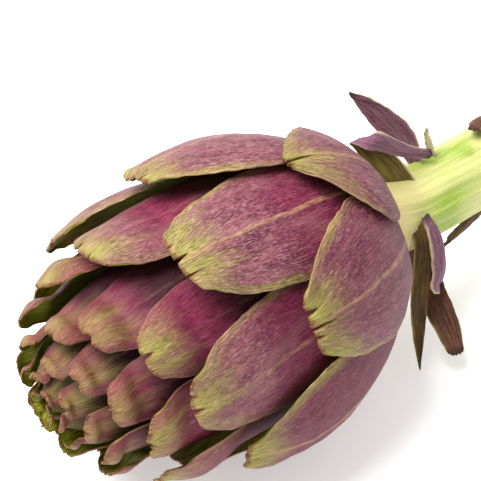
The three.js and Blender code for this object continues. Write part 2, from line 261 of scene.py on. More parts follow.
def tip_cut(plan, v):
    """How far short of the full length each line along the bract ends, in millimetres.

    The tips of the inner bracts are two round lobes with a small hard point in the notch between them. The
    outer ones are torn.
    """
    number = plan["number"]
    lobed = float(smoothstep(number, 3, 16))
    tip_half = plan["half_width"] * plan["tip_width"]
    corner = 1 - (1 - np.clip(np.abs(v), 0, 1) ** TIP_ROUNDNESS) ** (1 / TIP_ROUNDNESS)
    cut = (0.16 + 0.49 * lobed) * tip_half * corner
    for place, depth, half in TEARS.get(number, []):
        cut = np.maximum(cut, cut * 0.4 + depth * np.clip(1 - np.abs(v - place) / half, 0, 1))
    if number not in TEARS:
        size = tip_half / 6
        notch = np.exp(-(((v - notch_at(number)) / NOTCH_HALF) ** 2))
        point = np.exp(-(((v - notch_at(number)) / POINT_HALF) ** 2))
        cut = cut + (0.85 + 0.35 * math.sin(3.1 * number)) * size * notch - POINT_LENGTH * point
    ragged = wander("ragged", number, v) * 0.3 * (1 - 0.4 * lobed)
    splinters = np.abs(wander("splinters", number, v)) * (0.34 - 0.22 * lobed)
    return cut + (ragged + splinters)


def across_lines(number, steps):
    """Lines across a bract, closer at its edges and at the sides of each tear or notch."""
    widest = math.pi / 2 * EDGE_CROWDING
    lines = set(np.round(np.sin(np.linspace(-1, 1, steps + 1) * widest) / math.sin(widest), 4))
    tears = TEARS.get(number, [[notch_at(number), 1, 3 * POINT_HALF]])
    for place, _, half in tears:
        near = [round(place + half * share, 4) for share in TEAR_LINES]
        lines = {x for x in lines if not place - half * 1.1 < x < place + half * 1.1} | set(near)
    return np.array(sorted(lines))


def along_lines(steps, tip_power=1.35):
    """Lines along a bract, closer together at the tip."""
    return 1 - (1 - np.linspace(0, 1, steps + 1)) ** tip_power


def bract_back(plan, u, v, t, layers):
    """How far the back of a bract lies from the head's axis, without its fine shape."""
    number, youth = plan["number"], plan["youth"]
    lift = plan["lift"] * np.clip(1 + layers / 3, 0, 1) ** 2
    keel = KEEL_HEIGHT * np.sin(math.pi * np.clip(1 + layers / KEEL_LAYERS, 0, 1)) * (1 - v * v)
    stand_side = smoothstep(plan["side"] * v, -1, 0.2) if plan["side"] else 1
    stand = plan["stand"] * stand_side * np.sin(math.pi * np.clip(u, 0, 1)) ** 0.6
    back = outline(t) + LAYER_PITCH * layers + lift + keel + stand
    tip_stand = TIP_STANDS.get(number, TIP_STAND * float(smoothstep(number, 1, 4)) * (1 - 0.75 * youth))
    back = back + tip_stand * smoothstep(layers, -4.5, 0)
    back = back - GAP_DEPTH * youth * smoothstep(-layers, 3, 8) * smoothstep(1 - t, 0.03, 0.2)
    back = back - min(LEAN_STEP * max(number - LEAN_FROM, 0), LEAN_MOST) * smoothstep(t, 0.88, 0.985)
    if number < ROOTED_BELOW:
        back = back + (ROOT_RADIUS - ROOT_STEP * number - back) * (1 - smoothstep(u, 0, ROOT_SHARE))
    return np.maximum(back, AXIS_CLEARANCE + AXIS_STEP * (BUD_COUNT - number))


def bract_relief(plan, u, v, to_tip, to_side):
    """A bract's fine shape: its midrib, pleats, rolled edges and dents, and a rim that hoods inwards."""
    number, youth, calm, size = plan["number"], plan["youth"], plan["calm"], plan["size"]
    midrib = MIDRIB_HEIGHT * np.exp(-((v / MIDRIB_HALF) ** 2)) * smoothstep(u, 0.05, 0.3) * (1 - 0.7 * u)
    bend = 2 * wander("ripple", number, u)
    pleats = PLEAT_HEIGHT * size * np.sin(PLEATS * v + bend + number) * (1 - np.abs(v)) * (0.4 + u)
    at_edge = np.clip(np.abs(v) - EDGE_ROLL_FROM, 0, 1) ** 2
    edge_roll = EDGE_ROLL * calm * wander("edge_roll", number, u) * at_edge / EDGE_ROLL_SPAN
    tip_roll = (0.9 - 0.5 * youth) * calm * size * wander("tip_roll", number, v) * smoothstep(u, 0.82, 1)
    dents = DENT_DEPTH * (1 - 0.45 * youth) * size * wander("dents", number, u * 1.3 + 0.35 * v)
    hood = -(0.35 + 0.9 * youth) * size * np.exp(-to_tip / (1.2 + 3.4 * youth))
    hood = hood - (0.25 + 0.5 * youth) * size * np.exp(-to_side / 1.6) * smoothstep(u, 0.3, 0.7)
    return midrib * (1 - 0.6 * youth) + pleats + edge_roll * size * u + tip_roll + dents + hood


def bract_surface(plan, u, v):
    """Back and front faces of a bract and what its material needs, on a grid of u (base to tip) and v."""
    number = plan["number"]
    length = plan["tip"] - plan["start"]
    reach = length * HEAD_LENGTH
    cut = tip_cut(plan, v) / HEAD_LENGTH
    onset = 1 - np.clip(TIP_TAPER / reach, 0.1, 0.5)
    t = plan["start"] + u * length - cut * smoothstep(u, onset, 1) ** 1.5
    layers = tip_number_at(t) - number
    back = bract_back(plan, u, v, t, layers)
    half_angle = np.minimum(bract_half_width(plan, u) / np.maximum(back, 2), MAX_HALF_ANGLE)
    side_wave = SIDE_WAVE * plan["calm"] * np.sign(v) * np.abs(v) ** 3
    side_wave = side_wave * wander("side_wave", number, u + 3 * (v > 0))
    angle = plan["angle"] + plan["sweep"] * (1 - u) + (v + side_wave) * half_angle
    to_tip = np.maximum((plan["tip"] - cut - t) * HEAD_LENGTH, 0)
    to_side = (1 - np.abs(v)) * half_angle * back
    shape = bract_relief(plan, u, v, to_tip, to_side)
    flesh = plan["flesh"] * (1 - v * v) * np.sin(math.pi * np.clip(u, 0, 1)) ** 0.5
    thick = EDGE_THICKNESS + (plan["thickness"] - EDGE_THICKNESS) * (1 - v * v) * (1 - 0.55 * u)
    outer = on_head(t * HEAD_LENGTH, back + shape + flesh, angle)
    inner = on_head(t * HEAD_LENGTH, back + shape - thick, angle)
    inner[..., 2] = np.maximum(inner[..., 2], UNDERSIDE_SKIN)
    facts = dict(
        across=v,
        along=u,
        number=number,
        across_mm=(v * half_angle) * back,
        along_mm=u * reach,
        edge_mm=np.minimum(to_side, to_tip + 0.3),
        layers=layers,
        tip_mm=to_tip,
        shade_tone=PAINTED_SHADE_TONES.get(number, USUAL_SHADE_TONE),
    )
    return outer, inner, facts


# ---- leaves on the stem ----------------------------------------------

# Directions that a leaf's inner face looks in: towards a viewer above the crown, away from them, and down.
TO_VIEW, FROM_VIEW, DOWN_VIEW = (-0.44, -0.55, 0.71), (0.44, 0.55, -0.71), (-0.44, -0.55, -0.71)

STEM_LEAVES = [
    dict(
        name="stem_leaf_upright",
        spine=[[-23, 13.2, -30], [-20.5, 22, -27], [-17, 29.5, -31], [-14, 35, -34], [-10, 40, -37]],
        facing=(-0.9, -0.2, 0.3), half_width=5.4, cup=0.5, tip_width=0.12, green=0, skin="stem_leaf",
    ),
    dict(
        name="stem_leaf_folded",
        spine=[
            [-13, 8.4, 6], [-8, 17.2, -9], [-4, 24, -20], [-1.5, 27.2, -19],
            [-3.5, 28.5, -9], [-10, 25, -7], [-18, 19.4, -8], [-25, 15.6, -6],
        ],
        facing=[TO_VIEW, TO_VIEW, TO_VIEW, DOWN_VIEW, FROM_VIEW, FROM_VIEW, FROM_VIEW, FROM_VIEW],
        half_width=4.8, cup=0.6, tip_width=0.32, base_width=0.8, taper=(0.2, 0.8), green=1, skin="stem_leaf",
    ),
    dict(
        name="stem_leaf_pale_spike",
        spine=[[-28, 13.4, -22], [-27, 18.3, -18], [-25.5, 23.4, -14]],
        facing=(-1, 0, 0.2), half_width=1.8, cup=0.5, tip_width=0.1, green=0, skin="pale_leaf",
    ),
    dict(
        name="stem_leaf_far",
        spine=[[-55, 13.2, -15], [-50, 15.5, -14], [-45, 16.5, -11], [-41, 16, -8]],
        facing=(-0.2, -0.3, -1), half_width=4.5, cup=0.9, tip_width=0.4, green=0.3, skin="withered_leaf",
    ),
    dict(
        name="stem_leaf_under",
        spine=[[-50, 13.3, 165], [-42, 17, 166], [-34, 18, 162], [-24, 18.7, 157]],
        facing=(0.2, 0.5, 0.6), half_width=3.2, cup=0.7, tip_width=0.2, green=0.5, skin="withered_leaf",
    ),
    dict(
        name="stem_leaf_curled",
        spine=[
            [-9, 14.4, 150], [-9.5, 21.5, 137], [-9.5, 25, 122], [-9.5, 22, 99],
            [-10, 18.6, 78], [-10.5, 14.8, 56],
        ],
        facing=(-0.2, 0.75, -0.6), half_width=4, cup=0.9, tip_width=0.5, green=1, skin="stem_leaf",
    ),
    dict(
        name="stem_leaf_hanging_blunt",
        spine=[[-15, 13.6, 158], [-13, 20, 149], [-11, 27.5, 142], [-9, 36, 136], [-7, 48.5, 134.5]],
        facing=(-0.7, -0.5, 0.5), half_width=4.8, cup=0.45, tip_width=0.55, green=0, skin="withered_leaf",
    ),
    dict(
        name="stem_leaf_hanging_pointed",
        spine=[
            [-7.5, 14.2, 54], [-6.5, 14.8, 88], [-5.5, 19.6, 119],
            [-2, 28.4, 133], [0, 38, 142], [4.5, 50, 143],
        ],
        facing=(-0.44, -0.55, 0.71), half_width=2.9, cup=0.7, tip_width=0.1, base_width=0.7, green=0.7,
        skin="withered_leaf",
    ),
]
STEM_LEAF_THICKNESS = 1.0
STEM_LEAF_EDGE = 0.3
STEM_LEAF_ROOT = 10.8  # no leaf starts farther than this from the stem's axis, so it grows out of the stem
FIRST_STEM_LEAF_NUMBER = 60  # the stem leaves' own noise in the materials, after the bracts'
CURVE_STEPS, CURVE_SAMPLES = 24, 200


def spine_curve(points, samples):
    """A smooth curve through the points: centripetal Catmull-Rom, sampled evenly by length."""
    points = np.array(points, float)
    ends = [2 * points[0] - points[1], *points, 2 * points[-1] - points[-2]]
    curve = []
    for a, b, c, d in zip(ends, ends[1:], ends[2:], ends[3:]):
        pairs = ((a, b), (b, c), (c, d))
        knots = np.cumsum([0, *(np.linalg.norm(q - p) ** 0.5 for p, q in pairs)])
        for x in np.linspace(knots[1], knots[2], CURVE_STEPS, endpoint=False):
            first = [
                ((knots[i + 1] - x) * p + (x - knots[i]) * q) / (knots[i + 1] - knots[i])
                for i, (p, q) in enumerate(pairs)
            ]
            second = [
                ((knots[i + 2] - x) * first[i] + (x - knots[i]) * first[i + 1]) / (knots[i + 2] - knots[i])
                for i in (0, 1)
            ]
            curve.append(((knots[2] - x) * second[0] + (x - knots[1]) * second[1]) / (knots[2] - knots[1]))
    curve = np.array([*curve, points[-1]])
    lengths = np.concatenate([[0], np.cumsum(np.linalg.norm(np.diff(curve, axis=0), axis=1))])
    even = np.linspace(0, 1, CURVE_SAMPLES) * lengths[-1]
    dense = np.stack([np.interp(even, lengths, curve[:, i]) for i in range(3)], -1)
    at = np.asarray(samples) * (CURVE_SAMPLES - 1)
    return np.stack([np.interp(at, np.arange(CURVE_SAMPLES), dense[:, i]) for i in range(3)], -1), lengths[-1]


def unit(rows):
    return rows / np.linalg.norm(rows, axis=-1, keepdims=True)


def stem_leaf_half_width(leaf, u):
    base_width = leaf.get("base_width", 0.45)
    swell = base_width + (1 - base_width) * np.sin(math.pi * np.minimum(u / 0.9, 0.5))
    taper_from, power = leaf.get("taper", (0.45, 1.8))
    drawn_in = np.clip((u - taper_from) / (1 - taper_from), 0, 1) ** power
    return leaf["half_width"] * swell * (1 - (1 - leaf["tip_width"]) * drawn_in)


def stem_leaf_surface(leaf, index, lines_u, lines_v):
    """Back and front faces of a stem leaf and what its material needs. It bends along its spine."""
    (first_s, first_r, first_a), *others = leaf["spine"]
    spine = [(first_s, min(first_r, STEM_LEAF_ROOT), first_a), *others]
    spine = [on_head(s, r, math.radians(a)) for s, r, a in spine]
    centre, length = spine_curve(spine, lines_u)
    ahead = unit(np.gradient(centre, axis=0))
    facing = np.atleast_2d(leaf["facing"])
    at = np.linspace(0, 1, len(facing))
    facing = np.stack([np.interp(lines_u, at, facing[:, i]) for i in range(3)], -1)
    across = unit(np.cross(ahead, facing))
    normal = unit(np.cross(across, ahead))
    u, v = np.meshgrid(lines_u, lines_v, indexing="ij")
    ragged = 0.4 * wander("leaf_ragged", index, v) + 0.5 * np.abs(wander("leaf_splinters", index, v))
    ends = (0.9 * v * v + ragged) * smoothstep(u, 0.8, 1)
    width = stem_leaf_half_width(leaf, u) * (1 + 0.05 * wander("leaf_width", index, u) * np.sign(v))
    bend = leaf["cup"] * v
    sideways = width * np.sin(bend) / leaf["cup"]
    raised = width * (1 - np.cos(bend)) / leaf["cup"]
    folds = 0.25 * wander("leaf_folds", index, u + 0.2 * v)
    folds = folds + 0.3 * np.abs(v) ** 3 * wander("leaf_margin", index, u)
    rib = 0.3 * np.exp(-((v / 0.12) ** 2)) * (1 - u)
    middle = centre[:, None] + across[:, None] * sideways[..., None]
    middle = middle + normal[:, None] * (raised + folds)[..., None] - ahead[:, None] * ends[..., None]
    thick = STEM_LEAF_EDGE + (STEM_LEAF_THICKNESS - STEM_LEAF_EDGE) * (1 - v * v) * (1 - 0.5 * u)
    outer = middle - normal[:, None] * (thick / 2 + rib)[..., None]
    inner = middle + normal[:, None] * (thick / 2)[..., None]
    tip_mm = (1 - u) * length
    facts = dict(
        across=v,
        along=u,
        number=FIRST_STEM_LEAF_NUMBER + index,
        across_mm=v * width,
        along_mm=u * length,
        edge_mm=np.minimum((1 - np.abs(v)) * width, tip_mm + 0.3),
        tip_mm=tip_mm,
    )
    return outer, inner, facts


# ---- meshes ----------------------------------------------------------

# Where a leaf lies in its place in the bake square, in shares of the place. The inner face mirrors the outer.
FACE_LEFT, FACE_WIDTH = 0.04, 0.4
FACE_BOTTOM, FACE_HEIGHT = 0.03, 0.91
RIM_LEFT, RIM_RIGHT, RIM_BOTTOM, RIM_TOP = 0.02, 0.47, 0.01, 0.965
MIRROR_SUM = 0.98
WHOLE_SQUARE = (0.0, 0.0, 1.0, 1.0)
SIDE_LINE = 0.999  # a point as far across as this is on the leaf's side
RIM_GREEN = 0.3  # how much of the inner face's colour its rim has


class MeshParts:
    """Gathers points, faces, bake coordinates and material facts, and makes one object from them.

    Of a leaf's facts, across and along are shares of its width and length, edge_mm and tip_mm are the
    distances to the nearest edge and the tip, layers is minus how many bracts lie over a point, inner is 1 on
    a green inner face, number tells the leaves apart, and shade_tone says how much painted shade a bract
    carries.
    """

    FACTS = (
        "across", "along", "number", "across_mm", "along_mm", "edge_mm", "layers", "tip_mm", "inner", "shade_tone",
    )

    def __init__(self):
        self.points, self.faces, self.corners, self.own_corners = [], [], [], {}
        self.facts = {name: [] for name in self.FACTS}

    def add_points(self, points, uv, **facts):
        """Adds a list of points and returns the index of the first."""
        first = len(self.points)
        self.points.extend(np.asarray(points).reshape(-1, 3))
        count = len(self.points) - first
        for name in self.FACTS:
            values = np.asarray(facts.get(name, 0.0), float).reshape(-1)
            self.facts[name].extend(np.broadcast_to(values, count))
        self.corners.extend(np.asarray(uv, float).reshape(-1, 2))
        return first

    def add_face(self, face, corners=None):
        """Adds a face. Its own bake coordinates, if given, are used instead of its points' coordinates."""
        if corners is not None:
            self.own_corners[len(self.faces)] = corners
        self.faces.append(face)

    def finish(self, name, material):
        """Makes the object. Its points keep over the table, and its faces look outwards."""
        mesh = bpy.data.meshes.new(name)
        points = np.array(self.points) * MM
        points[:, 2] = np.maximum(points[:, 2], 0)
        mesh.from_pydata(points.tolist(), [], self.faces)
        for fact, values in self.facts.items():
            layer = mesh.attributes.new(fact, "FLOAT", "POINT")
            layer.data.foreach_set("value", np.array(values, np.float32))
        spots = []
        for index, face in enumerate(self.faces):
            spots.extend(self.own_corners.get(index, [self.corners[point] for point in face]))
        layer = mesh.uv_layers.new(name="OFBake")
        layer.data.foreach_set("uv", np.array(spots, np.float32).ravel())
        solid = bmesh.new()
        solid.from_mesh(mesh)
        if solid.calc_volume(signed=True) < 0:
            bmesh.ops.reverse_faces(solid, faces=solid.faces)
        solid.to_mesh(mesh)
        solid.free()
        mesh.polygons.foreach_set("use_smooth", [True] * len(mesh.polygons))
        mesh.materials.append(material)
        mesh.update()
        piece = bpy.data.objects.new(name, mesh)
        bpy.context.scene.collection.objects.link(piece)
        return piece


def add_leaf(parts, outer, inner, facts, place=WHOLE_SQUARE, green=1):
    """A closed leaf with a round rim. The outer face and its half of the rim are baked on the left half of
    the leaf's place, the inner ones on the right."""
    rows, columns = outer.shape[:2]
    left, bottom, width, height = place

    def spot(x, y):
        return np.stack([left + width * x, bottom + height * y], -1)

    x = FACE_LEFT + FACE_WIDTH * (facts["across"] + 1) / 2
    y = FACE_BOTTOM + FACE_HEIGHT * facts["along"]
    first = parts.add_points(outer, spot(x, y), **facts, inner=0)
    second = parts.add_points(inner, spot(MIRROR_SUM - x, y), **facts, inner=green)
    back = first + np.arange(rows * columns).reshape(rows, columns)
    front = second + np.arange(rows * columns).reshape(rows, columns)
    for i in range(rows - 1):
        for j in range(columns - 1):
            parts.add_face((back[i, j], back[i, j + 1], back[i + 1, j + 1], back[i + 1, j]))
            parts.add_face((front[i, j], front[i + 1, j], front[i + 1, j + 1], front[i, j + 1]))
    ring = [(i, columns - 1, 0, -1) for i in range(rows)]
    ring += [(rows - 1, j, -1, 0) for j in range(columns - 2, -1, -1)]
    ring += [(i, 0, 0, 1) for i in range(rows - 2, -1, -1)]
    ring += [(0, j, 1, 0) for j in range(1, columns - 1)]
    at = np.array(ring)
    on_edge = (at[:, 0], at[:, 1])
    inside = (np.clip(at[:, 0] + at[:, 2], 0, rows - 1), np.clip(at[:, 1] + at[:, 3], 0, columns - 1))
    middle = (outer[on_edge] + inner[on_edge]) / 2
    outward = middle - (outer[inside] + inner[inside]) / 2
    outward = outward / np.maximum(np.linalg.norm(outward, axis=-1, keepdims=True), 1e-6)
    rim_facts = {key: np.broadcast_to(value, outer.shape[:2])[on_edge] for key, value in facts.items()}
    across = rim_facts["across"]
    rim_x = np.where(across < -SIDE_LINE, RIM_LEFT, x[on_edge])
    rim_x = np.where(across > SIDE_LINE, RIM_RIGHT, rim_x)
    rim_y = np.where(at[:, 0] == 0, RIM_BOTTOM, y[on_edge])
    rim_y = np.where(at[:, 0] == rows - 1, RIM_TOP, rim_y)
    rim_points = middle + outward * RIM_BULGE
    third = parts.add_points(rim_points, spot(rim_x, rim_y), **rim_facts, inner=RIM_GREEN * green)
    mirrored = spot(MIRROR_SUM - rim_x, rim_y)
    for k in range(len(ring)):
        after = (k + 1) % len(ring)
        (i, j), (m, n) = ring[k][:2], ring[after][:2]
        a, b = third + k, third + after
        p, q = front[i, j], front[m, n]
        parts.add_face((back[i, j], a, b, back[m, n]))
        parts.add_face((a, p, q, b), [mirrored[k], parts.corners[p], parts.corners[q], mirrored[after]])


# ---- materials -------------------------------------------------------

NOISE_ROUGHNESS = 0.55
NUMBER_SHIFTS = (7.31, 3.17)  # by its number, each leaf's noise moves this far across and along


def srgb(r, g, b):
    """A linear colour from the usual 0 to 255 values."""
    return tuple(((c / 255 + 0.055) / 1.055) ** 2.4 if c > 10 else c / 3295 for c in (r, g, b)) + (1.0,)


class Shade:
    """A small helper for building a material's nodes."""

    def __init__(self, name):
        self.material = bpy.data.materials.new(name)
        self.material.use_nodes = True
        self.tree = self.material.node_tree
        self.surface = self.tree.nodes["Principled BSDF"]

    def node(self, kind, **settings):
        made = self.tree.nodes.new(kind)
        for key, value in settings.items():
            setattr(made, key, value)
        return made

    def put(self, socket, value):
        if isinstance(value, bpy.types.NodeSocket):
            self.tree.links.new(value, socket)
        else:
            socket.default_value = value

    def fill(self, node, **inputs):
        """Sets or links a node's inputs. A name has _ where the input's has a space."""
        for key, value in inputs.items():
            self.put(node.inputs[key.replace("_", " ")], value)

    def fact(self, name):
        return self.node("ShaderNodeAttribute", attribute_name=name).outputs["Fac"]

    def math(self, operation, a, b=0.0, c=0.0):
        made = self.node("ShaderNodeMath", operation=operation)
        for socket, value in zip(made.inputs, (a, b, c)):
            self.put(socket, value)
        return made.outputs[0]

    def plus(self, a, b):
        return self.math("ADD", a, b)

    def times(self, a, b):
        return self.math("MULTIPLY", a, b)

    def times_plus(self, a, b, c):
        """a times b, plus c."""
        return self.math("MULTIPLY_ADD", a, b, c)

    def ramp(self, value, low, high, to_low=0.0, to_high=1.0):
        """Smoothly from to_low at low to to_high at high."""
        made = self.node("ShaderNodeMapRange", interpolation_type="SMOOTHSTEP")
        self.fill(made, Value=value, From_Min=low, From_Max=high, To_Min=to_low, To_Max=to_high)
        return made.outputs[0]

    def vector(self, x, y, z):
        made = self.node("ShaderNodeCombineXYZ")
        self.fill(made, X=x, Y=y, Z=z)
        return made.outputs[0]

    def noise(self, x, y, z, detail):
        made = self.node("ShaderNodeTexNoise")
        self.fill(made, Vector=self.vector(x, y, z), Scale=1.0, Detail=detail, Roughness=NOISE_ROUGHNESS)
        return made.outputs["Fac"]

    def mix(self, factor, a, b):
        made = self.node("ShaderNodeMix", data_type="RGBA", clamp_factor=True)
        self.put(made.inputs["Factor"], factor)
        self.put(made.inputs[6], a)
        self.put(made.inputs[7], b)
        return made.outputs[2]

    def bump(self, height, strength, distance):
        made = self.node("ShaderNodeBump")
        self.fill(made, Height=height, Strength=strength, Distance=distance)
        return made.outputs[0]

    def streaks(self, across_scale, along_scale, detail=3.0):
        """Noise drawn out along the leaf. It narrows with the leaf, so the lines meet at the tip."""
        number = self.fact("number")
        x = self.times_plus(self.fact("across"), across_scale, self.times(number, NUMBER_SHIFTS[0]))
        y = self.times_plus(self.fact("along_mm"), along_scale, self.times(number, NUMBER_SHIFTS[1]))
        return self.noise(x, y, number, detail)

    def grain(self, scale, stretch, detail=2.0):
        """Noise with features about 1 / scale millimetres across, and stretch times as long."""
        x = self.times(self.fact("across_mm"), scale)
        y = self.times(self.fact("along_mm"), scale / stretch)
        return self.noise(x, y, self.fact("number"), detail)

    def finish(self, color, roughness, normal, **constants):
        self.fill(self.surface, Base_Color=color, Roughness=roughness, Normal=normal, **constants)
        return self.material


def bract_skin():
    """Mauve, with green towards the tips and the edges, a pale midrib and pale hairs. The inner face is
    yellow-green. Parts under other bracts are redder and darker, partly their own colour and partly painted
    shade, and bracts facing away from the key light are darker with painted shade."""
    shade = Shade("bract_skin")
    u, v = shade.fact("along"), shade.fact("across")
    edge, tip = shade.fact("edge_mm"), shade.fact("tip_mm")
    layers, number = shade.fact("layers"), shade.fact("number")
    broad = shade.streaks(3.0, 0.03, 2.0)
    medium = shade.streaks(11.0, 0.06)
    fine = shade.streaks(44.0, 0.26)
    blotch = shade.grain(0.11, 2.0)
    fuzz = shade.grain(3.1, 5.0, 2.0)
    speck = shade.grain(4.2, 1.5, 1.0)
    shown = shade.plus(layers, shade.ramp(number, 8.0, 18.0, 1.8, 0.0))
    # Where other bracts lie over this one: there the skin is rosier, partly its own colour and partly painted
    # shade.
    covered_and_shaded = shade.ramp(shown, -7.0, -2.2, 1.0, 0.0)
    outermost = shade.ramp(number, 6.0, 18.0, 1.0, 0.0)

    # Mauve where a bract shows, and rosy where others cover it: partly the hidden skin's own colour, partly
    # painted shade.
    mauve = shade.mix(shade.ramp(medium, 0.34, 0.66), srgb(86, 30, 52), srgb(130, 68, 84))
    rosy = shade.mix(shade.ramp(fine, 0.35, 0.65), srgb(82, 8, 40), srgb(136, 32, 74))
    young = shade.mix(shade.ramp(medium, 0.34, 0.66), srgb(104, 26, 50), srgb(144, 64, 78))
    mauve = shade.mix(shade.ramp(number, 10.0, 20.0), mauve, young)
    purple = shade.mix(shade.times(covered_and_shaded, 0.85), mauve, rosy)
    purple = shade.mix(shade.ramp(blotch, 0.45, 0.75, 0.0, 0.45), purple, srgb(150, 104, 104))
    # Painted shade: bracts that face away from the key light are darker and more purple, by their shade_tone.
    shade_tone = shade.fact("shade_tone")
    purple = shade.mix(shade.times(shade_tone, 0.8), purple, srgb(90, 14, 48))
    # Painted shade, nearly black, far down between the bracts.
    purple = shade.mix(shade.ramp(layers, -12.0, -8.0, 0.85, 0.0), purple, srgb(30, 4, 14))

    # Green from the tip, and from the edges of the outer bracts.
    drift = shade.times_plus(broad, 26.0, -13.0)
    tip_place = shade.plus(tip, shade.times_plus(medium, 12.0, drift))
    green_tip = shade.ramp(tip_place, 4.0, 24.0, 1.0, 0.0)
    centre = shade.ramp(shade.math("ABSOLUTE", v), 0.25, 0.95, 1.0, 0.25)
    green_tip = shade.times(green_tip, shade.math("MAXIMUM", centre, outermost))
    green_tip = shade.times(green_tip, shade.ramp(number, 16.0, 25.0, 1.0, 0.55))
    edge_place = shade.plus(edge, shade.times_plus(medium, 5.0, -2.0))
    green_edge = shade.times(shade.ramp(edge_place, 0.4, 4.2, 0.75, 0.0), shade.ramp(u, 0.3, 0.65))
    green_edge = shade.times(green_edge, outermost)
    green_amount = shade.math("MAXIMUM", green_tip, green_edge)
    green_amount = shade.times(green_amount, shade.ramp(blotch, 0.3, 0.6, 0.6, 1.0))
    green = shade.mix(shade.ramp(fine, 0.32, 0.68), srgb(110, 106, 32), srgb(166, 164, 72))
    skin = shade.mix(green_amount, purple, green)

    # A pale midrib, faint on the inner bracts.
    rib_place = shade.times_plus(medium, 0.05, shade.math("SUBTRACT", v, 0.025))
    rib_amount = shade.ramp(shade.math("ABSOLUTE", rib_place), 0.012, 0.06, 1.0, 0.0)
    rib_amount = shade.times(rib_amount, shade.ramp(fine, 0.3, 0.6, 0.1, 0.6))
    rib_amount = shade.times(rib_amount, shade.ramp(number, 8.0, 14.0, 1.0, 0.15))
    skin = shade.mix(rib_amount, skin, srgb(182, 144, 96))

    # Pale hairs and pores in short dashes along the veins, and dark ones between them.
    pale = shade.ramp(covered_and_shaded, 0.0, 1.0, 0.46, 0.1)
    pale = shade.times(pale, shade.ramp(number, 9.0, 20.0, 1.0, 0.45))
    # The pale hairs also follow the painted shade: more on the lit bracts, fewer on the shaded ones, so they
    # add a painted sheen where the light falls.
    pale = shade.times(pale, shade.ramp(shade_tone, 0.0, 1.0, 1.15, 0.45))
    skin = shade.mix(shade.times(shade.ramp(fine, 0.5, 0.74), pale), skin, srgb(200, 152, 148))
    hairs = shade.times(shade.ramp(fuzz, 0.45, 0.75, 0.0, 0.75), pale)
    skin = shade.mix(hairs, skin, srgb(204, 164, 156))
    skin = shade.mix(shade.ramp(fuzz, 0.25, 0.46, 0.3, 0.0), skin, srgb(56, 14, 28))
    skin = shade.mix(shade.ramp(fine, 0.3, 0.44, 0.3, 0.0), skin, srgb(62, 18, 30))
    specks = shade.times(shade.ramp(speck, 0.66, 0.78, 0.0, 0.5), shade.ramp(covered_and_shaded, 0.2, 0.9, 1.0, 0.15))
    skin = shade.mix(specks, skin, srgb(222, 196, 164))

    # A pale border, and a dry brown tip.
    border = shade.ramp(shade.plus(edge, shade.times(fuzz, 0.4)), 0.2, 0.6, 0.4, 0.0)
    border = shade.times(border, shade.ramp(broad, 0.42, 0.6, 0.2, 1.0))
    skin = shade.mix(shade.times(border, shade.ramp(u, 0.1, 0.4)), skin, srgb(186, 140, 112))
    torn_place = shade.times_plus(broad, 3.4, shade.math("SUBTRACT", tip, 1.4))
    torn = shade.ramp(torn_place, 0.1, 1.2, 0.85, 0.0)
    skin = shade.mix(torn, skin, shade.mix(shade.ramp(fuzz, 0.4, 0.6), srgb(58, 28, 16), srgb(144, 94, 52)))

    # The inner face.
    inside = shade.mix(shade.ramp(medium, 0.35, 0.65), srgb(92, 96, 8), srgb(158, 160, 34))
    inside = shade.mix(shade.ramp(fine, 0.3, 0.7, 0.0, 0.4), inside, srgb(60, 66, 6))
    inside = shade.mix(shade.ramp(u, 0.55, 0.9, 0.5, 0.0), inside, srgb(190, 186, 110))
    inside = shade.mix(torn, inside, srgb(104, 66, 26))
    color = shade.mix(shade.ramp(shade.fact("inner"), 0.35, 0.8), skin, inside)

    height = shade.plus(fine, shade.times(fuzz, 0.55))
    height = shade.plus(height, shade.times(medium, 0.8))
    normal = shade.bump(height, 0.55, 0.0006)
    roughness = shade.ramp(fuzz, 0.3, 0.7, 0.42, 0.6)
    return shade.finish(color, roughness, normal, Specular_IOR_Level=0.2)


def leaf_skin(name, outside, outside_dark, inside, inside_dark, margin, burnt):
    """A stem leaf: two tones outside, two inside, a border and a dry tip."""
    shade = Shade(name)
    edge, tip = shade.fact("edge_mm"), shade.fact("tip_mm")
    medium, fine = shade.streaks(6.0, 0.09), shade.streaks(24.0, 0.16)
    fuzz = shade.grain(3.0, 2.0, 3.0)
    blotch = shade.grain(0.22, 1.6)
    outer = shade.mix(shade.ramp(medium, 0.35, 0.65), outside, outside_dark)
    outer = shade.mix(shade.ramp(fine, 0.3, 0.62, 0.55, 0.0), outer, outside_dark)
    outer = shade.mix(shade.ramp(fuzz, 0.52, 0.7, 0.0, 0.3), outer, margin)
    inner = shade.mix(shade.ramp(medium, 0.35, 0.65), inside, inside_dark)
    inner = shade.mix(shade.ramp(blotch, 0.45, 0.65, 0.0, 0.5), inner, inside_dark)
    skin = shade.mix(shade.ramp(shade.fact("inner"), 0.35, 0.8), outer, inner)
    border = shade.ramp(shade.plus(edge, shade.times(blotch, 1.2)), 0.6, 1.5, 0.75, 0.0)
    border = shade.times(border, shade.ramp(shade.fact("across"), -0.2, 0.4, 0.12, 1.0))
    skin = shade.mix(border, skin, margin)
    dry_place = shade.times_plus(medium, 4.0, shade.math("SUBTRACT", tip, 2.0))
    skin = shade.mix(shade.ramp(dry_place, 0.2, 3.2, 0.9, 0.0), skin, burnt)
    height = shade.plus(fine, shade.times(fuzz, 0.5))
    normal = shade.bump(shade.plus(height, medium), 0.6, 0.0006)
    return shade.finish(skin, shade.ramp(fuzz, 0.3, 0.7, 0.5, 0.66), normal, Specular_IOR_Level=0.3)


